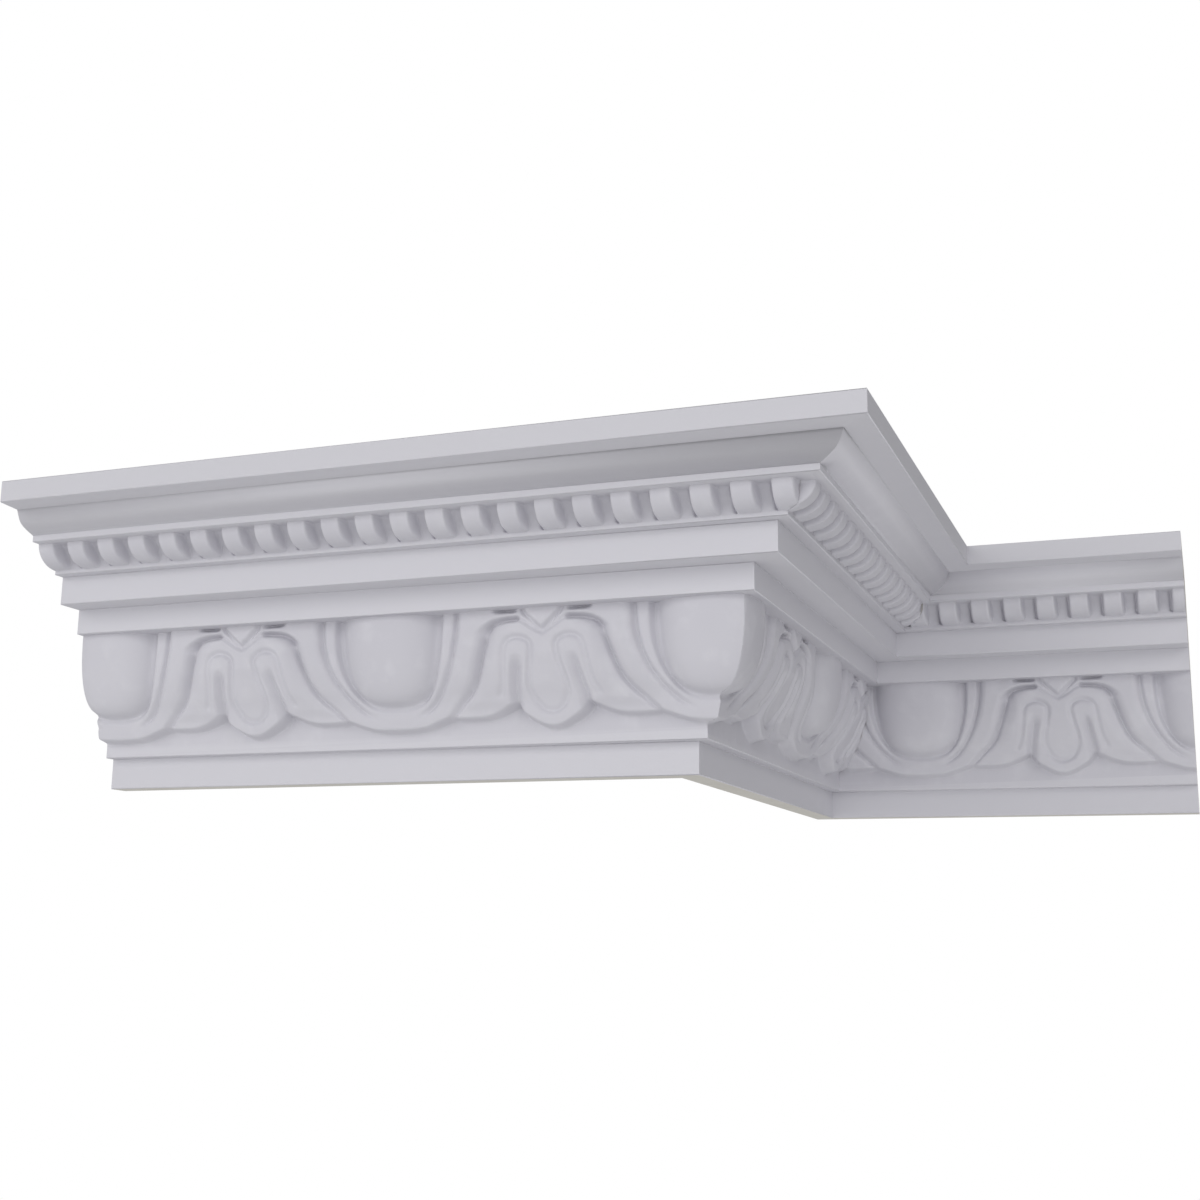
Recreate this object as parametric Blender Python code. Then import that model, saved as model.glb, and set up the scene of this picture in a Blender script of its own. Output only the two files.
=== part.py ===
"""A cornice moulding carried round an outer and an inner corner, as three mitred lengths.

Metres, +Z up, standing on Z = 0 with the origin under the middle of the whole. The front and
the back length face -Y and the return faces +X. The section is stated as projection from the
wall and depth below the top.
"""
import math

import bmesh
import bpy
from mathutils import Matrix, Vector

# Driving dimensions
HEIGHT = 0.200
FRONT_WALL = 0.4426
RETURN_WALL = 0.3917
BACK_WALL = 0.3171
JOINT_GAP = 0.0003

# Projections of the plain members, from the wall
CROWN_FASCIA = 0.1596
OVOLO_TOP = 0.1423
LIST = 0.1242
LUG = 0.1176
LUG_FILLET = 0.0981
UPPER_BAND = 0.0896
LOWER_BAND = 0.0690
FRIEZE_FLAT = 0.0253
FOOT_FASCIA = 0.0170

# Depths of the members below the top
CROWN_DROP = 0.0150
OVOLO_START = 0.0160
OVOLO_END = 0.0304
LIST_DROP = 0.0350
LUG_DROP = 0.0504
LUG_FILLET_DROP = 0.0533
UPPER_BAND_DROP = 0.0735
LOWER_BAND_DROP = 0.0916
FRIEZE_DROP = 0.1778
ROUND_STEPS = 6

# The running pattern: one egg and one dart to a pitch, nine lugs to a pitch
PITCH = 0.2300
LUG_PITCH = PITCH / 9
LUG_WIDTH = 0.0150
FRONT_EGG = 0.0368
FRONT_LUG = 0.0995
BACK_EGG = 0.0998
BACK_LUG = 0.1361
RUN_MARGIN = 0.100
MOTIF_MARGIN = 0.080
HOLE_MARGIN = 0.0003

# Mesh settings
CURVE_MERGE = 0.000001
MERGE_DISTANCE = 0.00002
FLAT_WITHIN_DEG = 0.5
SHARP_ABOVE_DEG = 28.0
HALVINGS = 40

# The egg: a bulging form with a rather square outline
EGG_HALF_WIDTH = 0.0388
EGG_DROP = 0.0576
EGG_CENTRE_DEPTH = 0.0900
EGG_SEAT_PROJECTION = 0.0364
EGG_BULGE = 0.0280
EGG_OUTLINE_POWER = 3.0
EGG_BULGE_POWER = 2.2
EGG_SEGMENTS = 20
EGG_RINGS = 14

# Relief: the ground behind the carving, and the surfaces that the carving rises to
GROUND = [(0.0470, LOWER_BAND_DROP), (0.0450, 0.1150), (0.0370, 0.1400), (0.0300, 0.1500),
          (FRIEZE_FLAT, 0.1560)]
SURFACE = [(0.0602, 0.0870), (0.0592, 0.1100), (0.0572, 0.1200), (0.0536, 0.1300), (0.0476, 0.1400),
           (0.0420, 0.1475), (0.0386, 0.1530), (0.0366, 0.1620), (0.0336, 0.1662), (0.0290, 0.1690)]
RIDGE_SURFACE = [(0.0534, 0.0875), (0.0530, 0.1150), (0.0506, 0.1280), (0.0462, 0.1400),
                 (0.0412, 0.1480), (0.0376, 0.1540)]
PLATE_RISE = -0.0014
RIM_RISE = 0.0006
SEPAL_RISE = -0.0006
BUD_RISE = 0.0002
RELIEF_ROOT = 0.0120
RELIEF_TOP = 0.0860

# Half outlines of the carving: distance from the egg's or the dart's centre, and depth
BAND_EDGE = [(0.0765, RELIEF_TOP), (0.0755, 0.1000), (0.0722, 0.1110), (0.0692, 0.1220),
             (0.0652, 0.1320), (0.0596, 0.1420), (0.0500, 0.1505), (0.0390, 0.1575),
             (0.0250, 0.1640), (0.0110, 0.1666), (0.0, 0.1672)]
LEAF_EDGE = [(0.0, 0.1092), (0.0090, 0.1064), (0.0180, 0.1010), (0.0290, 0.0990), (0.0360, 0.1024),
             (0.0400, 0.1150), (0.0452, 0.1300), (0.0504, 0.1400), (0.0590, 0.1490),
             (0.0744, 0.1590), (0.0650, 0.1605), (0.0500, 0.1600), (0.0370, 0.1556)]
SLOT_EDGE = [(0.0292, 0.1490), (0.0256, 0.1370), (0.0224, 0.1264), (0.0202, 0.1212),
             (0.0190, 0.1240), (0.0204, 0.1300), (0.0224, 0.1380), (0.0240, 0.1470)]
DART_EDGE = [(0.0230, 0.1546), (0.0160, 0.1604), (0.0080, 0.1652), (0.0, 0.1676)]
RIM_EDGE = [(0.0392, 0.1500), (0.0356, 0.1440), (0.0326, 0.1380), (0.0306, 0.1300), (0.0290, 0.1216),
            (0.0250, 0.1126), (0.0190, 0.1106), (0.0126, 0.1130), (0.0092, 0.1190),
            (0.0100, 0.1280), (0.0122, 0.1350), (0.0138, 0.1430), (0.0120, 0.1516),
            (0.0050, 0.1580), (0.0, 0.1594)]
SEPAL_EDGE = [(0.0376, RELIEF_TOP), (0.0368, 0.0944), (0.0330, 0.0957), (0.0205, 0.0960),
              (0.0150, 0.0994), (0.0080, 0.1054), (0.0, 0.1104)]
BUD_EDGE = [(0.0140, RELIEF_TOP), (0.0134, 0.0930), (0.0070, 0.1010), (0.0, 0.1066)]

# Ovals round the egg, as superellipses: half width, drop, centre depth, power
SEAT = (0.0380, 0.0600, 0.0900, 2.8)
GROOVE_INNER = (0.0506, 0.0680, 0.0880, 2.2)
GROOVE_OUTER = (0.0534, 0.0650, 0.0880, 2.2)
OVAL_STEPS = 8


def clear_scene():
    for old in list(bpy.data.objects):
        bpy.data.objects.remove(old, do_unlink=True)


def new_collection(name):
    made = bpy.data.collections.new(name)
    bpy.context.scene.collection.children.link(made)
    return made


def primer(name):
    """A matt factory primer, a cool light grey."""
    made = bpy.data.materials.new(name)
    made.use_nodes = True
    shader = made.node_tree.nodes["Principled BSDF"]
    shader.inputs["Base Color"].default_value = (0.60, 0.59, 0.65, 1.0)
    shader.inputs["Roughness"].default_value = 0.62
    shader.inputs["Metallic"].default_value = 0.0
    return made


def quarter_round(outer, inner, top, bottom):
    """A convex quarter-ellipse that starts upright at the top and ends level at the bottom."""
    points = []
    for step in range(ROUND_STEPS + 1):
        angle = math.pi / 2 * step / ROUND_STEPS
        across = inner + (outer - inner) * math.cos(angle)
        points.append((across, top + (bottom - top) * math.sin(angle)))
    return points


def moulding_section():
    """The outline of a plain length, from the top of the wall face round to its foot."""
    face = [(0.0, 0.0), (CROWN_FASCIA, 0.0), (CROWN_FASCIA, CROWN_DROP)]
    face += quarter_round(OVOLO_TOP, LIST, OVOLO_START, OVOLO_END)
    face += [(LIST, LIST_DROP)]
    face += quarter_round(LUG, LUG_FILLET, LIST_DROP, LUG_DROP)
    face += [(LUG_FILLET, LUG_FILLET_DROP), (UPPER_BAND, LUG_FILLET_DROP)]
    face += [(UPPER_BAND, UPPER_BAND_DROP), (LOWER_BAND, UPPER_BAND_DROP)]
    face += [(LOWER_BAND, LOWER_BAND_DROP)] + GROUND
    face += [(FRIEZE_FLAT, FRIEZE_DROP), (FOOT_FASCIA, FRIEZE_DROP)]
    face += [(FOOT_FASCIA, HEIGHT), (0.0, HEIGHT)]
    return face


def relief_section(surface, rise):
    """The block that a motif is cut from: its face follows the relief's surface."""
    face = [(projection + rise, depth) for projection, depth in surface]
    return [(RELIEF_ROOT, face[0][1])] + face + [(RELIEF_ROOT, face[-1][1])]


def filled_outlines(name, outlines, half_depth):
    """Flat closed outlines made solid, as one mesh; an outline inside another is a hole."""
    data = bpy.data.curves.new(name, "CURVE")
    data.dimensions = "2D"
    data.fill_mode = "BOTH"
    data.extrude = half_depth
    for outline in outlines:
        spline = data.splines.new("POLY")
        spline.points.add(len(outline) - 1)
        for point, place in zip(spline.points, outline):
            point.co = (place[0], place[1], 0.0, 1.0)
        spline.use_cyclic_u = True
    curve = bpy.data.objects.new(name, data)
    bpy.context.scene.collection.objects.link(curve)
    bpy.context.view_layer.update()
    evaluated = curve.evaluated_get(bpy.context.evaluated_depsgraph_get())
    mesh = bpy.data.meshes.new_from_object(evaluated)
    bpy.data.objects.remove(curve, do_unlink=True)
    shape = bmesh.new()
    shape.from_mesh(mesh)
    bmesh.ops.remove_doubles(shape, verts=shape.verts, dist=CURVE_MERGE)
    bmesh.ops.recalc_face_normals(shape, faces=shape.faces)
    shape.to_mesh(mesh)
    shape.free()
    return mesh


def section_prism(name, section, start, end):
    """A section run along X from start to end."""
    outline = [(-projection, HEIGHT - depth) for projection, depth in section]
    mesh = filled_outlines(name, [outline], (end - start) / 2)
    middle = (start + end) / 2
    mesh.transform(Matrix(((0, 0, 1, middle), (1, 0, 0, 0), (0, 1, 0, 0), (0, 0, 0, 1))))
    return mesh


def face_prisms(name, outlines):
    """Outlines drawn on the face, as distance along X and depth, and pushed through along Y."""
    drawn = [[(along, HEIGHT - depth) for along, depth in outline] for outline in outlines]
    mesh = filled_outlines(name, drawn, CROWN_FASCIA)
    mesh.transform(Matrix(((1, 0, 0, 0), (0, 0, -1, 0), (0, 1, 0, 0), (0, 0, 0, 1))))
    return mesh


def oval(half_width, drop, centre_depth, power):
    """The lower half of a superellipse, from above its right end down to the centre line."""
    points = [(half_width, RELIEF_TOP + HOLE_MARGIN)]
    for step in range(OVAL_STEPS):
        angle = math.pi / 2 * step / OVAL_STEPS
        across = half_width * math.cos(angle) ** (2 / power)
        points.append((across, centre_depth + drop * math.sin(angle) ** (2 / power)))
    return points + [(0.0, centre_depth + drop)]


def both_sides(half, centre):
    """A half outline and its mirror image about the centre, as one closed outline."""
    right = [(centre + across, depth) for across, depth in half]
    left = [(centre - across, depth) for across, depth in reversed(half) if across > 0]
    return right + left


def egg_point(direction):
    """Where a ray from the egg's middle meets its surface, found by halving."""
    near, far = 0.0, 2.0
    for _ in range(HALVINGS):
        reach = (near + far) / 2
        across = (abs(direction.x) * reach) ** EGG_OUTLINE_POWER
        down = (abs(direction.z) * reach) ** EGG_OUTLINE_POWER
        out = (abs(direction.y) * reach) ** EGG_BULGE_POWER
        if across + down + out > 1.0:
            far = reach
        else:
            near = reach
    return Vector((direction.x * reach * EGG_HALF_WIDTH,
                   direction.y * reach * EGG_BULGE - EGG_SEAT_PROJECTION,
                   direction.z * reach * EGG_DROP + HEIGHT - EGG_CENTRE_DEPTH))


def egg_mesh(name, centres):
    """Eggs, as spheres drawn out to their squarish outline."""
    shape = bmesh.new()
    for centre in centres:
        made = bmesh.ops.create_uvsphere(shape, u_segments=EGG_SEGMENTS, v_segments=EGG_RINGS,
                                         radius=1.0)
        for vertex in made["verts"]:
            vertex.co = egg_point(vertex.co) + Vector((centre, 0.0, 0.0))
    return finished_mesh(name, shape)


def finished_mesh(name, shape):
    mesh = bpy.data.meshes.new(name)
    shape.to_mesh(mesh)
    shape.free()
    return mesh


def box_mesh(name, boxes):
    """Boxes as one mesh, each given by its lowest and highest corner."""
    shape = bmesh.new()
    for low, high in boxes:
        low, high = Vector(low), Vector(high)
        place = Matrix.Translation((low + high) / 2) @ Matrix.Diagonal((*(high - low), 1.0))
        bmesh.ops.create_cube(shape, size=1.0, matrix=place)
    return finished_mesh(name, shape)


def end_cutter(name, at, lean, side):
    """A box that trims a length at X = at on the wall.

    Its face leans with the mitre: lean is 0 for a square end, 1 or -1 for a mitre towards -Y
    or +Y. It takes away what lies on the positive or the negative side.
    """
    outward = Vector((1.0, lean, 0.0)).normalized()
    size = 2 * (FRONT_WALL + RETURN_WALL)
    clearance = JOINT_GAP / 2 if lean else 0.0
    middle = Vector((at, 0.0, 0.0)) + outward * side * (size / 2 - clearance)
    turn = Matrix.Rotation(math.atan2(outward.y, outward.x), 4, "Z")
    shape = bmesh.new()
    bmesh.ops.create_cube(shape, size=size, matrix=Matrix.Translation(middle) @ turn)
    return finished_mesh(name, shape)


def places(first, pitch, low, high):
    """The places of a repeated motif between low and high."""
    start = math.ceil((low - first) / pitch)
    end = math.floor((high - first) / pitch)
    return [first + index * pitch for index in range(start, end + 1)]


def add_object(name, mesh, collection):
    made = bpy.data.objects.new(name, mesh)
    collection.objects.link(made)
    return made


def add_cutter(name, mesh):
    made = add_object(name, mesh, cutters)
    made.hide_render = True
    made.display_type = "WIRE"
    return made


def combine(target, other, operation):
    step = target.modifiers.new(other.name, "BOOLEAN")
    step.solver = "EXACT"
    step.operation = operation
    step.object = other


def carved_length(name, first_egg, first_lug, start, end, trims):
    """One length along X with its wall face in Y = 0, cut to its ends.

    It is run past both ends first, so that the mitres cut whole motifs.
    """
    low, high = start - RUN_MARGIN, end + RUN_MARGIN
    body = add_object(name, section_prism(name, moulding_section(), low, high), lengths)

    eggs = places(first_egg, PITCH, low + MOTIF_MARGIN, high - MOTIF_MARGIN)
    darts = places(first_egg + PITCH / 2, PITCH, low + MOTIF_MARGIN, high - MOTIF_MARGIN)
    leaf = LEAF_EDGE + SLOT_EDGE + DART_EDGE
    rim = DART_EDGE[::-1] + SLOT_EDGE[::-1] + RIM_EDGE
    bands = [both_sides(BAND_EDGE, place) for place in eggs]
    bands += [both_sides(oval(*GROOVE_OUTER), place) for place in eggs]
    ridges = [both_sides(oval(*GROOVE_INNER), place) for place in eggs]
    ridges += [both_sides(oval(*SEAT), place) for place in eggs]
    motifs = [("bands", bands, SURFACE, 0.0),
              ("ridges", ridges, RIDGE_SURFACE, 0.0),
              ("leaves", [both_sides(leaf, place) for place in darts], SURFACE, PLATE_RISE),
              ("rims", [both_sides(rim, place) for place in darts], SURFACE, RIM_RISE),
              ("sepals", [both_sides(SEPAL_EDGE, place) for place in darts], SURFACE, SEPAL_RISE),
              ("buds", [both_sides(BUD_EDGE, place) for place in darts], SURFACE, BUD_RISE)]
    for kind, outlines, surface, rise in motifs:
        motif = add_cutter(name + "_" + kind, face_prisms(name + "_" + kind, outlines))
        block = section_prism(motif.name + "_block", relief_section(surface, rise), low, high)
        combine(motif, add_cutter(block.name, block), "INTERSECT")
        combine(body, motif, "UNION")
    egg_forms = add_cutter(name + "_eggs", egg_mesh(name + "_eggs", eggs))
    combine(body, egg_forms, "UNION")

    gaps = []
    for place in places(first_lug, LUG_PITCH, low, high - LUG_PITCH):
        near = (place + LUG_WIDTH / 2, -LUG - RELIEF_ROOT, HEIGHT - LUG_DROP)
        gaps.append((near, (place + LUG_PITCH - LUG_WIDTH / 2, -LUG_FILLET, HEIGHT - LIST_DROP)))
    combine(body, add_cutter(name + "_gaps", box_mesh(name + "_gaps", gaps)), "DIFFERENCE")
    for number, trim in enumerate(trims):
        cutter_name = name + "_trim_" + str(number)
        combine(body, add_cutter(cutter_name, end_cutter(cutter_name, *trim)), "DIFFERENCE")
    return body


def settle(body, turn, wall_corner):
    """Takes the finished shape as the object's own mesh and puts it in its place."""
    bpy.context.view_layer.update()
    evaluated = body.evaluated_get(bpy.context.evaluated_depsgraph_get())
    mesh = bpy.data.meshes.new_from_object(evaluated)
    body.modifiers.clear()
    shape = bmesh.new()
    shape.from_mesh(mesh)
    bmesh.ops.remove_doubles(shape, verts=shape.verts, dist=MERGE_DISTANCE)
    bmesh.ops.dissolve_limit(shape, angle_limit=math.radians(FLAT_WITHIN_DEG), verts=shape.verts,
                             edges=shape.edges)
    bmesh.ops.triangulate(shape, faces=shape.faces)
    shape.to_mesh(mesh)
    shape.free()
    mesh.shade_smooth()
    mesh.set_sharp_from_angle(angle=math.radians(SHARP_ABOVE_DEG))
    mesh.materials.clear()
    mesh.materials.append(primer(body.name + "_primer"))
    body.data = mesh
    middle = Vector(((BACK_WALL - FRONT_WALL) / 2, (RETURN_WALL - CROWN_FASCIA) / 2, 0.0))
    body.rotation_euler.z = turn
    body.location = Vector(wall_corner) - middle


clear_scene()
lengths = new_collection("cornice_moulding_length")
cutters = new_collection("cutters")

front = carved_length("front_length", FRONT_EGG, FRONT_LUG, -FRONT_WALL, CROWN_FASCIA,
                      [(-FRONT_WALL, 0.0, -1), (0.0, 1.0, 1)])
turned = carved_length("return_length", -FRONT_EGG, -FRONT_LUG, -CROWN_FASCIA, RETURN_WALL,
                       [(0.0, -1.0, -1), (RETURN_WALL, -1.0, 1)])
back = carved_length("back_length", BACK_EGG, BACK_LUG, 0.0, BACK_WALL,
                     [(0.0, 1.0, -1), (BACK_WALL, 0.0, 1)])
settle(front, 0.0, (0.0, 0.0, 0.0))
settle(turned, math.pi / 2, (0.0, 0.0, 0.0))
settle(back, 0.0, (0.0, RETURN_WALL, 0.0))
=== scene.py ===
"""The finished look of the cornice moulding: three mitred lengths with their fine carving.

Lengths are in metres unless a comment says otherwise. The section and the carving are stated in
parts of the height (HEIGHT = 1), as p, the distance out from the wall, and z, measured from the
top downwards and therefore negative.
"""

import math

import bmesh
import bpy
import numpy as np
from mathutils import Matrix, Vector


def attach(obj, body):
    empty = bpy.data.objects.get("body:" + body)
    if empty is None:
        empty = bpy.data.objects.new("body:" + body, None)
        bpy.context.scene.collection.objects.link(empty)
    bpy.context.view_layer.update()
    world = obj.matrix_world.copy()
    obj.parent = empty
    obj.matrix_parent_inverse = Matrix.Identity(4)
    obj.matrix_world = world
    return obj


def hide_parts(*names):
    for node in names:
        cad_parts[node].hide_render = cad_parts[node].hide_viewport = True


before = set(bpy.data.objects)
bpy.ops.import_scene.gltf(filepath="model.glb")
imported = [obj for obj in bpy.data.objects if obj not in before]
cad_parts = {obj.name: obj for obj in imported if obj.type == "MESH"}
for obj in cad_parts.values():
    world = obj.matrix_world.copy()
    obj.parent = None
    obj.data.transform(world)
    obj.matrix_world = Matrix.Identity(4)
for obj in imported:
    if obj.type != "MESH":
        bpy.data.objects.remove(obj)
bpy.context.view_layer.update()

# The height and the three walls, and how far past its ends a run is built before it is cut
HEIGHT = 0.200
FRONT_WALL = 0.4426
RETURN_WALL = 0.3917
BACK_WALL = 0.3171
RUN_MARGIN = 0.06

# The section, in parts of the height
CROWN, CROWN_END = 0.798, -0.0750
OVOLO_START, OVOLO_SHOULDER = (0.7120, -0.0800), (0.6925, -0.1275)
LIST, LIST_TOP = 0.6210, -0.1525
LUG, LUG_TOP, LUG_END = 0.5880, -0.1750, -0.2520
LUG_FLOOR, LUG_FLOOR_END = 0.4905, -0.2665
UPPER_BAND, UPPER_BAND_END = 0.4480, -0.3675
LOWER_BAND = 0.3450
FRIEZE_TOP, RELIEF_END, FRIEZE_END = -0.4580, -0.8480, -0.8890
FLAT = 0.1265
FOOT = 0.0850
UNDERSIDE = -1.0
ARRIS, ARRIS_STEPS = 0.0030, 3
CURVE_STEPS = 14

# The step on a soffit from the last row of two points to the first row of many
SEAM = 0.002

# How far the crown reaches out, and the middle of the plan, in metres
REACH = CROWN * HEIGHT
MIDDLE = Vector(((BACK_WALL - FRONT_WALL) / 2, (RETURN_WALL - REACH) / 2, 0.0))

# The pattern, in parts of the height, and where an egg and a lug stand on the front and the back
PERIOD = 1.15
HALF_PERIOD = PERIOD / 2
CELL_COLUMNS = 144
FRIEZE_ROWS = 106
FRONT_EGG, FRONT_LUG = 0.184, 0.4975
BACK_EGG, BACK_LUG = 0.499, 0.6805

# The lugs. A wall is how far outside the lug it starts, its width and its rounding
LUG_PITCH = PERIOD / 9
LUG_HALF, LUG_MARGIN = 0.0375, 0.02
LUG_CORNER, LUG_CORNER_RISE = 0.012, 0.22
LEFT_WALL = (0.0020, 0.0090, 2.6)
RIGHT_WALL = (0.0050, 0.0120, 2.0)
WALL_COLUMNS = [-0.0180, -0.0130, -0.0095, -0.0065, -0.0040, -0.0015, 0.0010, 0.0035, 0.0065, 0.0110]
CREASE_CUT, CREASE_OFFSET, CREASE_RISE = (0.014, 0.0050), 0.0060, 0.15
COVE_RISE = 0.058

# How far each surface of the carving stands out at each level, as (z, p)
SURFACE = [(-0.40, 0.300), (-0.44, 0.300), (-0.50, 0.298), (-0.55, 0.294), (-0.60, 0.285),
           (-0.65, 0.266), (-0.70, 0.238), (-0.73, 0.214), (-0.76, 0.196), (-0.80, 0.184),
           (-0.825, 0.177), (-0.86, 0.165)]
VALLEY_FLOOR = [(-0.40, 0.254), (-0.50, 0.247), (-0.55, 0.240), (-0.60, 0.231), (-0.65, 0.214),
                (-0.70, 0.193), (-0.74, 0.175), (-0.775, 0.163), (-0.80, 0.155), (-0.86, 0.145)]
RIDGE = [(-0.40, 0.282), (-0.50, 0.282), (-0.55, 0.280), (-0.60, 0.273), (-0.65, 0.258),
         (-0.70, 0.232), (-0.74, 0.204), (-0.77, 0.191), (-0.80, 0.184), (-0.86, 0.165)]
SEAT_FLOOR = [(-0.40, 0.259), (-0.55, 0.258), (-0.62, 0.248), (-0.68, 0.227), (-0.72, 0.199),
              (-0.75, 0.187), (-0.78, 0.182), (-0.80, 0.179), (-0.86, 0.160)]
LEVEL_SOFTNESS = 0.012
FRONTMOST = 0.335

# Ovals round the egg: half width, drop, level of the centre, power
EGG = (0.198, 0.310, -0.440, 2.7)
EGG_BASE, EGG_FRONT, EGG_POWER = 0.189, 0.320, 2.23
SEAT_OVAL = (0.196, 0.305, -0.460, 2.6)
GROOVE_OVAL = (0.2575, 0.345, -0.460, 2.1)

# Lines of the carving. SHELL_FOOT is measured from the egg's centre, the others from the dart's
SHELL_FOOT = [(0.0, -0.838), (0.05, -0.836), (0.10, -0.830), (0.14, -0.8185), (0.175, -0.806),
              (0.200, -0.798)]
LEAF_FOOT = [(0.375, -0.798), (0.345, -0.801), (0.315, -0.803), (0.280, -0.803), (0.250, -0.801),
             (0.220, -0.795), (0.190, -0.785), (0.160, -0.772), (0.129, -0.757)]
DART_FOOT = [(0.129, -0.757), (0.122, -0.772), (0.111, -0.786), (0.094, -0.800), (0.070, -0.814),
             (0.050, -0.825), (0.025, -0.835), (0.0, -0.8385)]
VALLEY = [(0.375, -0.798), (0.364, -0.787), (0.337, -0.762), (0.312, -0.740), (0.290, -0.720),
          (0.2725, -0.700), (0.2600, -0.680), (0.2460, -0.650), (0.228, -0.600), (0.211, -0.550),
          (0.201, -0.522), (0.182, -0.503), (0.150, -0.4945), (0.120, -0.491), (0.094, -0.490)]
SLOT = [(0.102, -0.612), (0.104, -0.630), (0.110, -0.660), (0.119, -0.700), (0.126, -0.735),
        (0.130, -0.775)]
RIM_LINE = [(0.0, -0.786), (0.024, -0.780), (0.044, -0.765), (0.059, -0.740), (0.067, -0.715),
            (0.067, -0.695), (0.063, -0.670), (0.056, -0.645), (0.047, -0.605), (0.045, -0.582),
            (0.053, -0.564), (0.069, -0.554), (0.090, -0.549), (0.112, -0.552), (0.130, -0.562),
            (0.141, -0.580), (0.146, -0.610), (0.151, -0.650), (0.161, -0.695), (0.178, -0.730)]
SEPAL_FOOT = [(0.0, -0.541), (0.022, -0.529), (0.045, -0.514), (0.066, -0.500), (0.086, -0.490)]
BUD_EDGE = [(0.0, -0.529), (0.022, -0.512), (0.045, -0.490), (0.064, -0.470), (0.071, -0.455)]
SOFFIT_GAP = [(0.092, -0.462), (0.120, -0.461), (0.145, -0.460), (0.170, -0.459)]

# Points that carry the foot past both centres, and points that close the outlines of whole areas
FOOT_BEFORE, FOOT_BEYOND = (-0.05, -0.838), (HALF_PERIOD + 0.025, -0.831)
ABOVE_CARVING = -0.30
SHELL_SIDE = [(0.176, -0.44), (0.70, -0.44), (0.70, -0.83), (0.375, -0.83)]
TONGUE_BACK = [(-0.10, -0.60), (-0.10, -0.784)]
BUD_BACK = [(-0.10, -0.44), (-0.10, -0.529)]

# Widths of the valley's walls at each level, as (z, width), and their roundings
SHELL_WALL = [(-0.80, 0.014), (-0.76, 0.024), (-0.70, 0.034), (-0.60, 0.040)]
HOLLOW_WALL = [(-0.54, 0.050), (-0.50, 0.014)]
LEAF_WALL = [(-0.80, 0.020), (-0.76, 0.044), (-0.70, 0.060), (-0.60, 0.058), (-0.54, 0.046),
             (-0.50, 0.012)]
SHELL_ROUNDING, LEAF_ROUNDING = 1.8, 1.5

# The other walls, as width and rounding
BAND_WALL = (0.034, 1.8)
RIDGE_WALL = (0.016, 1.8)
FOOT_WALL = (0.0075, 3.0)
SLOT_DART_SIDE, SLOT_LEAF_SIDE, SLOT_ROUNDING = 0.033, 0.022, 1.35

# Fine lines, as depth and width
VALLEY_CUT = (0.017, 0.0080)
SEAT_CUT = (0.010, 0.005)
GROOVE_CUT = (0.014, 0.006)
RIM_CUT = (0.0145, 0.008)
SEPAL_CUT = (0.011, 0.0055)
BUD_CUT = (0.018, 0.0065)
GAP_CUT = (0.028, 0.0065)

# Depths and rises, with the two levels or places between which each grows from nothing to full
VALLEY_RISE, VALLEY_RISE_LEVELS = 0.024, (-0.515, -0.545)
VALLEY_CUT_LEVELS = (-0.525, -0.565)
LEAF_THINNING, THINNING_LEVELS, THINNING_PLACES = 0.012, (-0.745, -0.785), (0.13, 0.18)
GROOVE_DEPTH, RING_PLACES = 0.006, (0.06, 0.16)
SLOT_DEPTH, SLOT_LEVELS = 0.032, (-0.598, -0.648)
RIM_THINNING, RIM_THINNING_PLACES = 0.35, (0.110, 0.140)
DISH_DEPTH, DISH_LEVELS = 0.007, (-0.60, -0.65)
BUD_RISE = 0.006
GAP_START, GAP_STOP = (0.080, 0.110), (0.195, 0.145)

# Where the shell's outline leaves the valley, the tongue's top and side, the edge round its dish,
# and how near the foot of the carving is softened less
SHOULDER_LEVEL = -0.522
TONGUE_TOP, TONGUE_SIDE, DISH_EDGE = -0.60, 0.08, 0.012
CRISP_FOOT = 0.014

# Distances, in metres, within which a cut joins points, and a point counts as on the cut
CUT_JOIN, CUT_REACH = 1e-7, 1e-5


def curve_through(points, steps=5):
    """A smooth line through the points, as a Catmull-Rom spline."""
    points = np.array(points, float)
    ends = np.vstack([2 * points[0] - points[1], points, 2 * points[-1] - points[-2]])
    out = []
    for a, b, c, d in zip(ends[:-3], ends[1:-2], ends[2:-1], ends[3:]):
        for t in np.arange(steps) / steps:
            out.append(0.5 * (2 * b + (c - a) * t + (2 * a - 5 * b + 4 * c - d) * t ** 2
                              + (3 * b - a - 3 * c + d) * t ** 3))
    out.append(points[-1])
    return np.array(out)


def distance_to(line, x, z):
    """Distance from every grid point to an open line."""
    best = np.full(x.shape, np.inf)
    for (ax, az), (bx, bz) in zip(line[:-1], line[1:]):
        dx, dz = bx - ax, bz - az
        t = np.clip(((x - ax) * dx + (z - az) * dz) / (dx * dx + dz * dz), 0.0, 1.0)
        best = np.minimum(best, np.hypot(x - ax - t * dx, z - az - t * dz))
    return best


def inside(outline, x, z):
    """Whether every grid point lies inside a closed outline."""
    hit = np.zeros(x.shape, bool)
    following = np.roll(outline, -1, axis=0)
    for (ax, az), (bx, bz) in zip(outline, following):
        if az == bz:
            continue
        crosses = (az > z) != (bz > z)
        hit ^= crosses & (x < (bx - ax) * (z - az) / (bz - az) + ax)
    return hit


def read(table, z):
    """The value that a table of (level, value) has at every grid point's level."""
    levels, values = zip(*sorted(table))
    return np.interp(z, levels, values)


def level(table, z):
    """The table's value with its bends softened."""
    lower, upper = read(table, z - LEVEL_SOFTNESS), read(table, z + LEVEL_SOFTNESS)
    return (lower + 2 * read(table, z) + upper) / 4


def bulge(t, power):
    """0 at t = 0 rising steeply and rounding over to 1 at t = 1."""
    return 1.0 - (1.0 - np.clip(t, 0.0, 1.0)) ** power


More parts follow.
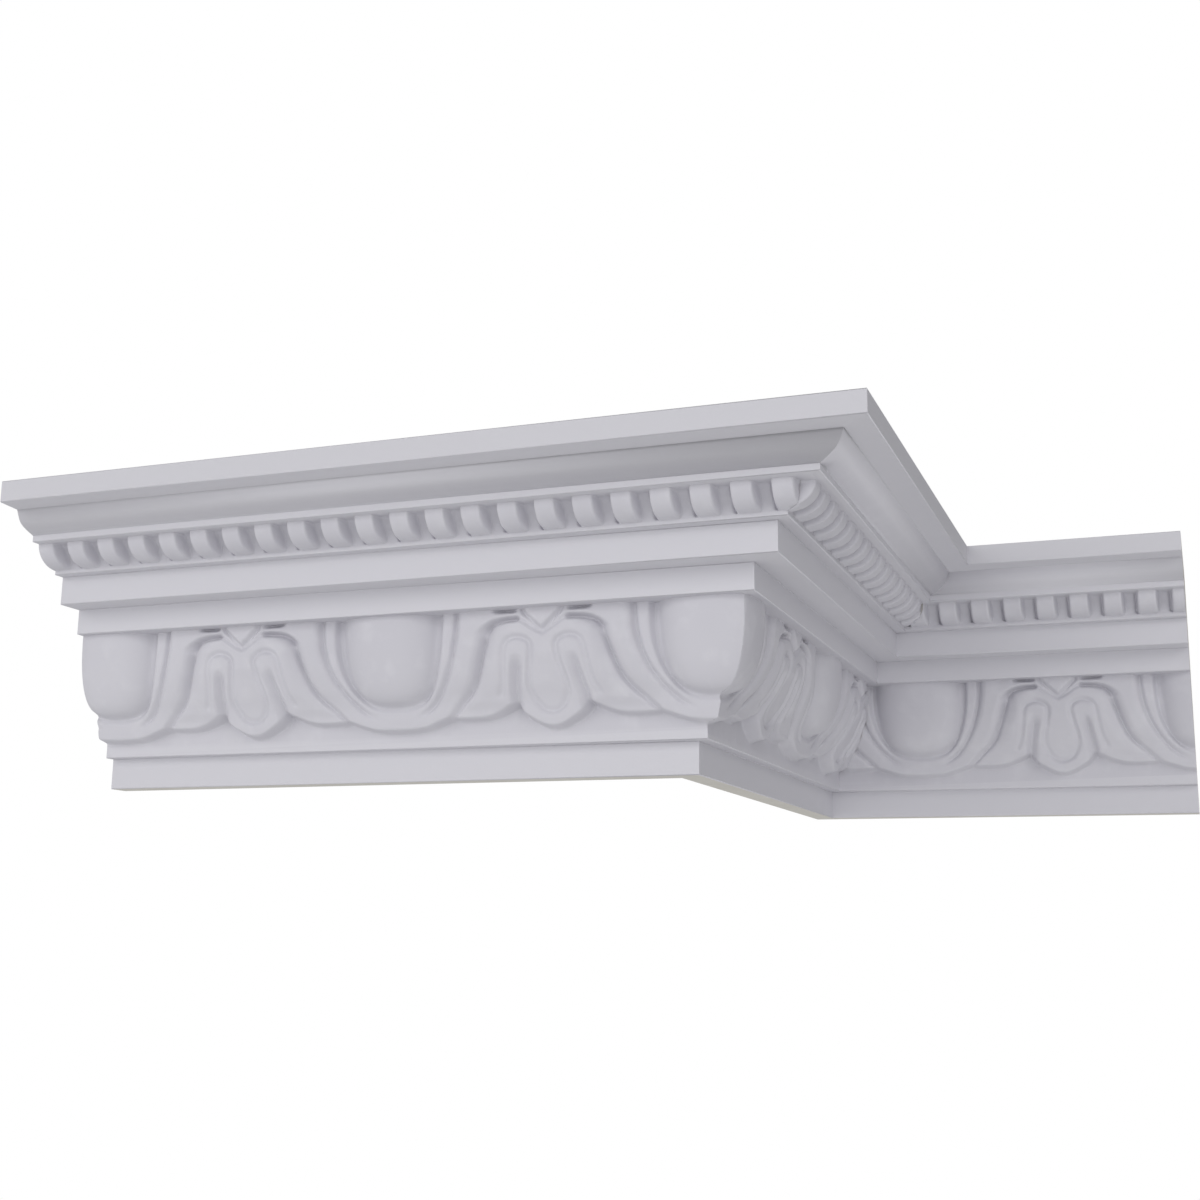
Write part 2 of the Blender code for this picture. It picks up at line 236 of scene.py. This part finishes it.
def ease(t):
    """0 at t = 0 and 1 at t = 1, leaving and arriving level."""
    t = np.clip(t, 0.0, 1.0)
    return t * t * (3 - 2 * t)


def ramp(value, start, end):
    """0 up to start, easing to 1 at end and beyond."""
    return ease((value - start) / (end - start))


def oval_distance(shape, x, z):
    """Roughly the distance outside (positive) or inside a superellipse that is open upwards."""
    a, b, z0, n = shape
    tiny = 1e-6
    u = np.maximum(np.abs(x) / a, tiny)
    v = np.maximum((z0 - z) / b, tiny)
    s = u ** n + v ** n
    r = s ** (1 / n)
    gu = s ** (1 / n - 1) * u ** (n - 1) / a
    gv = s ** (1 / n - 1) * v ** (n - 1) / b
    return (r - 1) / np.maximum(np.hypot(gu, gv), tiny)


def carve(p, floor, distance, width, rounding):
    """Cut a channel down to the floor along a line, rounding over at its width."""
    return p - np.maximum(p - floor, 0.0) * (1.0 - bulge(distance / width, rounding))


def climb(low, high, distance, wall):
    """A wall that rises from low, at distance 0, to high at its width."""
    width, rounding = wall
    return low + (high - low) * bulge(distance / width, rounding)


def line_cut(cut, distance, share=1.0):
    """The depth of a fine line at a distance from its middle."""
    depth, width = cut
    return depth * share * np.exp(-(distance / width) ** 2)


def carving_foot(egg_x, z):
    """Whether each grid point lies above the foot of the carving, and how far from its line."""
    flipped = [curve_through(line) * (-1, 1) + (HALF_PERIOD, 0) for line in (LEAF_FOOT, DART_FOOT)]
    foot = np.vstack([FOOT_BEFORE, curve_through(SHELL_FOOT), flipped[0][1:], flipped[1][1:], FOOT_BEYOND])
    over = [(FOOT_BEYOND[0], ABOVE_CARVING), (FOOT_BEFORE[0], ABOVE_CARVING)]
    return inside(np.vstack([foot, over]), egg_x, z), distance_to(foot, egg_x, z)


def cut_valley(dart_x, z):
    """The surface with the valley between shell and leaf, which turns over the leaf's shoulder.

    Gives the carved surface, the surface before the cut and whether each point is the shell's.
    """
    valley = curve_through(VALLEY)
    valley_d = distance_to(valley, dart_x, z)
    in_shell = inside(np.vstack([valley[valley[:, 1] < SHOULDER_LEVEL], SHELL_SIDE]), dart_x, z)
    thin = LEAF_THINNING * ramp(z, *THINNING_LEVELS) * ramp(dart_x, *THINNING_PLACES)
    top = level(SURFACE, z) - np.where(in_shell, 0.0, thin)
    trough = np.minimum(level(VALLEY_FLOOR, z) + VALLEY_RISE * ramp(z, *VALLEY_RISE_LEVELS), top)
    shell_width = np.minimum(read(SHELL_WALL, z), read(HOLLOW_WALL, z))
    width = np.where(in_shell, shell_width, read(LEAF_WALL, z))
    p = carve(top, trough, valley_d, width, np.where(in_shell, SHELL_ROUNDING, LEAF_ROUNDING))
    return p - line_cut(VALLEY_CUT, valley_d, ramp(z, *VALLEY_CUT_LEVELS)), top, in_shell


def shell(p, top, egg_x, z):
    """The shell's broad band, then the thin groove, the ridge and the egg's seat inside it."""
    groove_d = oval_distance(GROOVE_OVAL, egg_x, z)
    seat_d = oval_distance(SEAT_OVAL, egg_x, z)
    fade = ramp(egg_x, *RING_PLACES)
    crest = level(RIDGE, z)
    groove_floor = crest - GROOVE_DEPTH * fade
    band = climb(groove_floor, p, groove_d, BAND_WALL)
    seat = np.minimum(level(SEAT_FLOOR, z), top)
    ridge = np.minimum(climb(seat, crest, seat_d, RIDGE_WALL),
                       climb(groove_floor, crest, -groove_d, RIDGE_WALL))
    surface = np.where(groove_d > 0, np.minimum(p, band), np.minimum(ridge, top))
    surface = np.where(seat_d > 0, surface, seat)
    return surface - line_cut(SEAT_CUT, seat_d, fade) - line_cut(GROOVE_CUT, groove_d, fade)


def add_egg(p, egg_x, z):
    """The surface with the egg, wherever the egg stands further out."""
    a, b, z0, n = EGG
    s = (np.abs(egg_x) / a) ** n + (np.maximum(z0 - z, 0.0) / b) ** n
    egg = EGG_BASE + (EGG_FRONT - EGG_BASE) * np.clip(1 - s, 0.0, 1.0) ** (1 / EGG_POWER)
    return np.where(s < 1, np.maximum(p, egg), p)


def cut_dart(p, top, in_shell, dart_x, z):
    """A slot on each side of the dart, a thin line that follows its edges, and its dished tongue."""
    slot = curve_through(SLOT)
    dart_side = dart_x < np.interp(-z, -slot[:, 1], slot[:, 0])
    slot_width = np.where(dart_side, SLOT_DART_SIDE, SLOT_LEAF_SIDE)
    slot_floor = top - SLOT_DEPTH * ramp(z, *SLOT_LEVELS)
    slotted = carve(p, slot_floor, distance_to(slot, dart_x, z), slot_width, SLOT_ROUNDING)
    rim_line = curve_through(RIM_LINE)
    rim_d = distance_to(rim_line, dart_x, z)
    share = 1 - RIM_THINNING * ramp(dart_x, *RIM_THINNING_PLACES)
    p = np.where(in_shell, p, slotted - line_cut(RIM_CUT, rim_d, share))
    tongue = rim_line[(rim_line[:, 1] < TONGUE_TOP) & (rim_line[:, 0] < TONGUE_SIDE)]
    in_tongue = inside(np.vstack([tongue, TONGUE_BACK]), dart_x, z)
    dish = DISH_DEPTH * ramp(z, *DISH_LEVELS) * ease(rim_d / DISH_EDGE)
    return p - np.where(in_tongue, dish, 0.0)


def cut_bud(p, dart_x, z):
    """The bud and the sepals under the soffit, and the gap beside the bud."""
    sepal_d = distance_to(curve_through(SEPAL_FOOT), dart_x, z)
    bud_edge = curve_through(BUD_EDGE)
    bud_d = distance_to(bud_edge, dart_x, z)
    in_bud = inside(np.vstack([bud_edge, BUD_BACK]), dart_x, z)
    p = p - line_cut(SEPAL_CUT, sepal_d) - line_cut(BUD_CUT, bud_d) + np.where(in_bud, BUD_RISE, 0.0)
    gap_d = distance_to(curve_through(SOFFIT_GAP), dart_x, z)
    return p - line_cut(GAP_CUT, gap_d, ramp(dart_x, *GAP_START) * ramp(dart_x, *GAP_STOP))


def softened(p):
    """One pass of softening by about a cell, as paint does."""
    padded = np.pad(p, ((0, 0), (1, 1)), mode="reflect")
    p = (padded[:, :-2] + 2 * padded[:, 1:-1] + padded[:, 2:]) / 4
    padded = np.pad(p, ((1, 1), (0, 0)), mode="edge")
    return (padded[:-2] + 2 * padded[1:-1] + padded[2:]) / 4


def relief_cell():
    """The frieze's levels, and its projection over half a period, from the egg's centre to the dart's."""
    columns = np.linspace(0.0, HALF_PERIOD, CELL_COLUMNS + 1)
    rows = np.linspace(FRIEZE_TOP, RELIEF_END, FRIEZE_ROWS)
    egg_x, z = np.meshgrid(columns, rows)
    dart_x = HALF_PERIOD - egg_x
    p, top, in_shell = cut_valley(dart_x, z)
    p = np.where(in_shell, shell(p, top, egg_x, z), p)
    p = add_egg(p, egg_x, z)
    p = cut_dart(p, top, in_shell, dart_x, z)
    p = cut_bud(p, dart_x, z)

    # The step down to the flat below the carving stays a little crisper than the rest
    carved, foot_d = carving_foot(egg_x, z)
    p = np.where(carved, climb(FLAT, np.maximum(p, FLAT), foot_d, FOOT_WALL), FLAT)
    once = softened(p)
    twice = softened(once)
    p = np.clip(np.where(foot_d < CRISP_FOOT, (twice + once) / 2, twice), FLAT, FRONTMOST)
    p[-1] = FLAT
    return rows, p


FRIEZE_LEVELS, FRIEZE_CELL = relief_cell()


def rounded(corners):
    """Section points with each corner eased: gives (p, z, belongs to a rounded part)."""
    points = []
    for index, (p, z, radius) in enumerate(corners):
        if radius == 0 or index in (0, len(corners) - 1):
            points.append((p, z, False))
            continue
        here = Vector((p, z))
        before = (Vector(corners[index - 1][:2]) - here).normalized() * radius
        after = (Vector(corners[index + 1][:2]) - here).normalized() * radius
        for step in range(ARRIS_STEPS + 1):
            t = step / ARRIS_STEPS
            point = here + before * (1 - t) ** 2 + after * t ** 2
            points.append((point.x, point.y, step > 0))
    return points


def quarter_round(outer, inner, top, bottom):
    """Points (p, z) down a quarter of an ellipse."""
    angles = np.linspace(0.0, math.pi / 2, CURVE_STEPS + 1)
    return [(inner + (outer - inner) * math.cos(a), top + (bottom - top) * math.sin(a))
            for a in angles]


def swell(start, shoulder, end):
    """A curve from start to end that leaves and arrives along the lines to its shoulder."""
    a, c, b = (Vector(point) for point in (start, shoulder, end))
    shares = [step / CURVE_STEPS for step in range(CURVE_STEPS + 1)]
    return [a * (1 - t) ** 3 + c * 3 * t * (1 - t) + b * t ** 3 for t in shares]


class Strip:
    """Rows of points along a run, from its low to its high end, each joined to the next."""

    def __init__(self, low, high):
        self.low, self.high = low, high
        self.points, self.faces, self.smooth = [], [], []
        self.last = None

    def add(self, xs, p, z, smooth):
        """A row of points at one level, with one projection or a projection for each point."""
        row = (np.asarray(xs), len(self.points))
        self.points += [(x, -out, z) for x, out in zip(xs, np.broadcast_to(p, len(xs)))]
        if self.last is not None:
            self.join(self.last, row)
        self.smooth += [smooth] * (len(self.faces) - len(self.smooth))
        self.last = row

    def join(self, upper, lower):
        """Faces between two rows, which may differ in their number of points."""
        (upper_xs, above), (lower_xs, below) = upper, lower
        last_upper, last_lower = len(upper_xs) - 1, len(lower_xs) - 1
        if last_upper == last_lower and np.allclose(upper_xs, lower_xs):
            for i in range(last_upper):
                self.faces.append((above + i, below + i, below + i + 1, above + i + 1))
            return
        i = j = 0
        while i < last_upper or j < last_lower:
            step_upper = j == last_lower or (i < last_upper and upper_xs[i + 1] <= lower_xs[j + 1])
            if step_upper:
                self.faces.append((above + i, below + j, above + i + 1))
                i += 1
            else:
                self.faces.append((above + i, below + j, below + j + 1))
                j += 1

    def straight(self, p, z, smooth=False):
        """A row of two points, one at each end of the run."""
        self.add([self.low, self.high], p, z, smooth)

    def members(self, corners):
        """Straight rows for every corner after the first, which is already there."""
        for p, z, smooth in rounded(corners)[1:]:
            self.straight(p, z, smooth)


def add_crown(strip):
    """The top, the crown fascia, the ovolo and the list above the lugs."""
    strip.straight(0.0, 0.0)
    strip.members([(0.0, 0.0, 0), (CROWN, 0.0, ARRIS), (CROWN, CROWN_END, ARRIS), (*OVOLO_START, 0)])
    for p, z in swell(OVOLO_START, OVOLO_SHOULDER, (LIST, LIST_TOP))[1:]:
        strip.straight(p, z, smooth=True)
    strip.members([(LIST, LIST_TOP, 0), (LIST, LUG_TOP, ARRIS), (LUG + 2 * SEAM, LUG_TOP, 0)])


def lug_columns(low, high, lug):
    """Places of points along the run, and how far each is from the middle of its lug."""
    first = math.floor((low - lug) / LUG_PITCH) + 1
    count = int((high - low) / LUG_PITCH)
    offsets = [-LUG_HALF + step for step in WALL_COLUMNS] + [0.0]
    offsets += [LUG_HALF - step for step in reversed(WALL_COLUMNS)]
    xs, lug_x = [low], [-LUG_PITCH / 2]
    for index in range(first, first + count):
        centre = lug + index * LUG_PITCH
        if centre - LUG_HALF - LUG_MARGIN < low or centre + LUG_HALF + LUG_MARGIN > high:
            continue
        xs += [centre + offset for offset in offsets]
        lug_x += offsets
    return np.array(xs + [high]), np.array(lug_x + [LUG_PITCH / 2])


def wall_share(inward, start, width, rounding):
    """The share of its full projection that a lug has at a distance inward of its side."""
    return bulge((inward + start) / width, rounding)


def add_lugs(strip, lug):
    """The row of lugs, with a cove behind them that is deepest beside each lug's left wall."""
    xs, lug_x = lug_columns(strip.low, strip.high, lug)
    left = lug_x < 0
    strip.add(xs, LUG + SEAM, LUG_TOP, False)
    for index, (p, z) in enumerate(quarter_round(LUG, LUG_FLOOR, LUG_TOP, LUG_END)):
        rise = (z - LUG_END) / (LUG_TOP - LUG_END)
        corner = LUG_CORNER * (1 - math.sqrt(1 - max(0.0, 1 - rise / LUG_CORNER_RISE) ** 2))
        inward = LUG_HALF - corner - np.abs(lug_x)
        share = np.where(left, wall_share(inward, *LEFT_WALL), wall_share(inward, *RIGHT_WALL))
        crease = np.where(left, line_cut(CREASE_CUT, inward + CREASE_OFFSET), 0.0)
        cove = LUG_FLOOR + COVE_RISE * rise ** 2
        strip.add(xs, cove - crease * ease(rise / CREASE_RISE) + (p - cove) * share, z, index > 0)


def add_bands(strip):
    """The fillet under the lugs, the two fasciae and the soffit over the frieze."""
    strip.members([(LUG_FLOOR, LUG_END, 0), (LUG_FLOOR, LUG_FLOOR_END, ARRIS),
                   (UPPER_BAND, LUG_FLOOR_END, ARRIS / 2), (UPPER_BAND, UPPER_BAND_END, ARRIS),
                   (LOWER_BAND, UPPER_BAND_END, ARRIS / 2), (LOWER_BAND, FRIEZE_TOP, ARRIS),
                   (LOWER_BAND - 3 * SEAM, FRIEZE_TOP, 0)])


def add_frieze(strip, egg):
    """The carved frieze, which mirrors and repeats the cell along the run."""
    pitch = HALF_PERIOD / CELL_COLUMNS
    index = np.arange(math.ceil((strip.low - egg) / pitch), math.floor((strip.high - egg) / pitch) + 1)
    folded = np.abs((index + CELL_COLUMNS) % (2 * CELL_COLUMNS) - CELL_COLUMNS)
    xs = egg + index * pitch
    xs[0], xs[-1] = strip.low, strip.high
    strip.add(xs, LOWER_BAND - 4 * SEAM, FRIEZE_TOP, False)
    for number, z in enumerate(FRIEZE_LEVELS):
        strip.add(xs, FRIEZE_CELL[number][folded], z, number > 0)


def add_foot(strip):
    """The flat below the carving, the foot fascia and the underside."""
    strip.members([(FLAT, RELIEF_END, 0), (FLAT, FRIEZE_END, ARRIS), (FOOT, FRIEZE_END, ARRIS / 2),
                   (FOOT, UNDERSIDE, ARRIS), (0.0, UNDERSIDE, 0)])


def closed_mesh(name, strip):
    """The strip and its back as a mesh in metres, with the top, underside and back left bare."""
    points = np.array(strip.points) * HEIGHT
    points[:, 2] += HEIGHT
    count = len(points)
    faces = strip.faces + [(count - 2, 0, 1, count - 1)]
    bare = [0] * len(faces)
    bare[0] = bare[-2] = bare[-1] = 1
    mesh = bpy.data.meshes.new(name)
    mesh.from_pydata(points.tolist(), [], faces)
    mesh.polygons.foreach_set("use_smooth", strip.smooth + [False])
    mesh.polygons.foreach_set("material_index", bare)
    return mesh


def cut_end(shape, at, lean, side):
    """Cut the run by an upright plane, square or mitred, and close it with a flat bare face."""
    point = Vector((at, 0.0, 0.0))
    outward = Vector((1.0, lean, 0.0)).normalized() * side
    bmesh.ops.bisect_plane(shape, geom=list(shape.verts) + list(shape.edges) + list(shape.faces),
                           dist=CUT_JOIN, plane_co=point, plane_no=outward, clear_outer=True)
    open_edges = [edge for edge in shape.edges if len(edge.link_faces) == 1
                  and all(abs((vertex.co - point).dot(outward)) < CUT_REACH for vertex in edge.verts)]
    for face in bmesh.ops.edgeloop_fill(shape, edges=open_edges)["faces"]:
        face.material_index = 1
        face.smooth = False


def run_mesh(name, egg, lug, start, end, cuts):
    """One length along X with its wall in Y = 0, as a closed mesh cut to its ends."""
    strip = Strip((start - RUN_MARGIN) / HEIGHT, (end + RUN_MARGIN) / HEIGHT)
    add_crown(strip)
    add_lugs(strip, lug)
    add_bands(strip)
    add_frieze(strip, egg)
    add_foot(strip)
    mesh = closed_mesh(name, strip)
    shape = bmesh.new()
    shape.from_mesh(mesh)
    for at, lean, side in cuts:
        cut_end(shape, at, lean, side)
    bmesh.ops.recalc_face_normals(shape, faces=shape.faces)
    bmesh.ops.triangulate(shape, faces=shape.faces, ngon_method="EAR_CLIP")
    shape.to_mesh(mesh)
    shape.free()
    return mesh


# Layers over a coat's tone: scale and detail of the noise, and its values where a layer starts and is full
DRIFT, BLOTCH, SPECK = (9.0, 3.0, 0.35, 0.65), (60.0, 4.0, 0.52, 0.80), (1500.0, 1.0, 0.66, 0.80)
RUBBED_START, RUBBED_FULL = 0.52, 0.60
GRAIN_DETAIL, GRAIN_STRENGTH, GRAIN_HEIGHT = 3.0, 0.10, 0.0004
SHEEN = 0.35


def noise(tree, scale, detail, coordinates):
    """A noise in the object's own space, between 0 and 1."""
    node = tree.nodes.new("ShaderNodeTexNoise")
    node.inputs["Scale"].default_value = scale
    node.inputs["Detail"].default_value = detail
    tree.links.new(coordinates.outputs["Object"], node.inputs["Vector"])
    return node.outputs["Fac"]


def mixed(tree, factor, first, second):
    """A mix of two colours. The node's factor and colours are its sockets 0, 6 and 7."""
    node = tree.nodes.new("ShaderNodeMix")
    node.data_type = "RGBA"
    for socket, value in ((0, factor), (6, first), (7, second)):
        if isinstance(value, tuple):
            node.inputs[socket].default_value = value
        else:
            tree.links.new(value, node.inputs[socket])
    return node.outputs[2]


def spread(tree, value, low, high):
    """The value stretched so that low becomes 0 and high becomes 1."""
    node = tree.nodes.new("ShaderNodeMapRange")
    node.inputs["From Min"].default_value = low
    node.inputs["From Max"].default_value = high
    tree.links.new(value, node.inputs["Value"])
    return node.outputs["Result"]


def coat(name, tone, dark, light, grain, roughness, rubbed):
    """A matt surface: a slight drift of tone, a fine grain and, where it is rubbed, lighter edges."""
    material = bpy.data.materials.new(name)
    material.use_nodes = True
    tree = material.node_tree
    shader = tree.nodes["Principled BSDF"]
    coordinates = tree.nodes.new("ShaderNodeTexCoord")
    colour = tone
    for (scale, detail, low, high), other in ((DRIFT, dark), (BLOTCH, light), (SPECK, dark)):
        layer = spread(tree, noise(tree, scale, detail, coordinates), low, high)
        colour = mixed(tree, layer, colour, other)
    if rubbed:
        geometry = tree.nodes.new("ShaderNodeNewGeometry")
        edges = spread(tree, geometry.outputs["Pointiness"], RUBBED_START, RUBBED_FULL)
        colour = mixed(tree, edges, colour, light)
    tree.links.new(colour, shader.inputs["Base Color"])
    shader.inputs["Roughness"].default_value = roughness
    shader.inputs["Specular IOR Level"].default_value = SHEEN
    bump = tree.nodes.new("ShaderNodeBump")
    bump.inputs["Strength"].default_value = GRAIN_STRENGTH
    bump.inputs["Distance"].default_value = GRAIN_HEIGHT
    tree.links.new(noise(tree, grain, GRAIN_DETAIL, coordinates), bump.inputs["Height"])
    tree.links.new(bump.outputs["Normal"], shader.inputs["Normal"])
    return material


primer = coat("primer", tone=(0.563, 0.556, 0.600, 1), dark=(0.538, 0.531, 0.576, 1),
              light=(0.593, 0.587, 0.628, 1), grain=700.0, roughness=0.62, rubbed=True)
raw = coat("cast_back", tone=(0.640, 0.622, 0.580, 1), dark=(0.600, 0.580, 0.535, 1),
           light=(0.690, 0.675, 0.635, 1), grain=420.0, roughness=0.75, rubbed=False)


def add_length(name, egg, lug, start, end, cuts, turn=0.0, corner=(0.0, 0.0, 0.0)):
    """Build one length along X, turn it and set it against its wall, which starts at the corner."""
    mesh = run_mesh(name + "_carved", egg, lug, start, end, cuts)
    mesh.transform(Matrix.Translation(Vector(corner) - MIDDLE) @ Matrix.Rotation(turn, 4, "Z"))
    mesh.materials.append(primer)
    mesh.materials.append(raw)
    piece = bpy.data.objects.new(name + "_carved", mesh)
    bpy.context.scene.collection.objects.link(piece)
    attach(piece, "root")
    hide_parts(name)


# The three lengths. A cut is its place, its lean and the side that falls away
SQUARE, MITRE = 0.0, 1.0
add_length("front_length", FRONT_EGG, FRONT_LUG, start=-FRONT_WALL, end=REACH,
           cuts=[(-FRONT_WALL, SQUARE, -1), (0.0, MITRE, 1)])
add_length("return_length", -FRONT_EGG, -FRONT_LUG, start=-REACH, end=RETURN_WALL,
           cuts=[(0.0, -MITRE, -1), (RETURN_WALL, -MITRE, 1)], turn=math.pi / 2)
add_length("back_length", BACK_EGG, BACK_LUG, start=0.0, end=BACK_WALL,
           cuts=[(0.0, MITRE, -1), (BACK_WALL, SQUARE, 1)], corner=(0.0, RETURN_WALL, 0.0))

# Camera, solved from the corners of the section in the photograph, with its angles in radians
YAW, PITCH, ROLL = 0.3643, 0.2064, 0.0125
CAMERA_PLACE = Vector((0.32384, -1.00584, HEIGHT - 0.30142))
FOCAL_PIXELS, PHOTO_PIXELS = 1594.25, 1200
forward = Vector((-math.sin(YAW) * math.cos(PITCH), math.cos(YAW) * math.cos(PITCH), math.sin(PITCH)))
right = Vector((math.cos(YAW), math.sin(YAW), 0.0))
up = right.cross(forward)
right_rolled = math.cos(ROLL) * right + math.sin(ROLL) * up
up_rolled = math.cos(ROLL) * up - math.sin(ROLL) * right
facing = Matrix((right_rolled, up_rolled, -forward)).transposed().to_4x4()
camera_data = bpy.data.cameras.new("camera")
camera_data.lens = FOCAL_PIXELS / PHOTO_PIXELS * camera_data.sensor_width
camera_data.clip_start = 0.01
camera = bpy.data.objects.new("camera", camera_data)
camera.matrix_world = Matrix.Translation(CAMERA_PLACE - MIDDLE) @ facing
bpy.context.scene.collection.objects.link(camera)
bpy.context.scene.camera = camera

# Softboxes, all at one distance and aimed at the middle of the piece
LAMP_DISTANCE, LAMP_SIZE = 9.0, 8.0
LAMP_AIM = Vector((0.0, 0.0, HEIGHT / 2))


def lamp(name, direction, power):
    """A square softbox, placed by its direction from the origin."""
    data = bpy.data.lights.new(name, "AREA")
    data.size = LAMP_SIZE
    data.energy = power
    lamp_object = bpy.data.objects.new(name, data)
    lamp_object.location = Vector(direction).normalized() * LAMP_DISTANCE
    lamp_object.rotation_mode = "QUATERNION"
    lamp_object.rotation_quaternion = (LAMP_AIM - lamp_object.location).to_track_quat("-Z", "Y")
    bpy.context.scene.collection.objects.link(lamp_object)


lamp("side_softbox", (-0.754, -0.633, 0.174), 141.0)
lamp("left_softbox", (-0.337, -0.925, 0.174), 267.0)
lamp("right_softbox", (0.633, -0.754, 0.174), 300.0)

# The surroundings, which light the piece softly and look white
AMBIENT, WHITE = (0.210, 0.210, 0.210, 1), (1.0, 1.0, 1.0, 1)
world = bpy.data.worlds.new("studio")
bpy.context.scene.world = world
world.use_nodes = True
tree = world.node_tree
path = tree.nodes.new("ShaderNodeLightPath")
tint = mixed(tree, path.outputs["Is Camera Ray"], AMBIENT, WHITE)
tree.links.new(tint, tree.nodes["Background"].inputs["Color"])

# The floor, which ends before it comes into the photograph's view
FLOOR_HALF, FLOOR_LEVEL, FLOOR_GLOW = 4.4, -1.2, 0.340
floor_sides = ((-1, -1), (1, -1), (1, 1), (-1, 1))
floor_corners = [(x * FLOOR_HALF, y * FLOOR_HALF, FLOOR_LEVEL) for x, y in floor_sides]
floor_mesh = bpy.data.meshes.new("floor")
floor_mesh.from_pydata(floor_corners, [], [(0, 1, 2, 3)])
floor = bpy.data.objects.new("floor", floor_mesh)
pale = bpy.data.materials.new("pale_floor")
pale.use_nodes = True
pale_shader = pale.node_tree.nodes["Principled BSDF"]
pale_shader.inputs["Base Color"].default_value = (0.9, 0.9, 0.9, 1)
pale_shader.inputs["Roughness"].default_value = 0.9
pale_shader.inputs["Specular IOR Level"].default_value = 0.0
pale_shader.inputs["Emission Color"].default_value = WHITE
pale_shader.inputs["Emission Strength"].default_value = FLOOR_GLOW
floor_mesh.materials.append(pale)
bpy.context.scene.collection.objects.link(floor)

bpy.context.scene.view_settings.view_transform = "Standard"
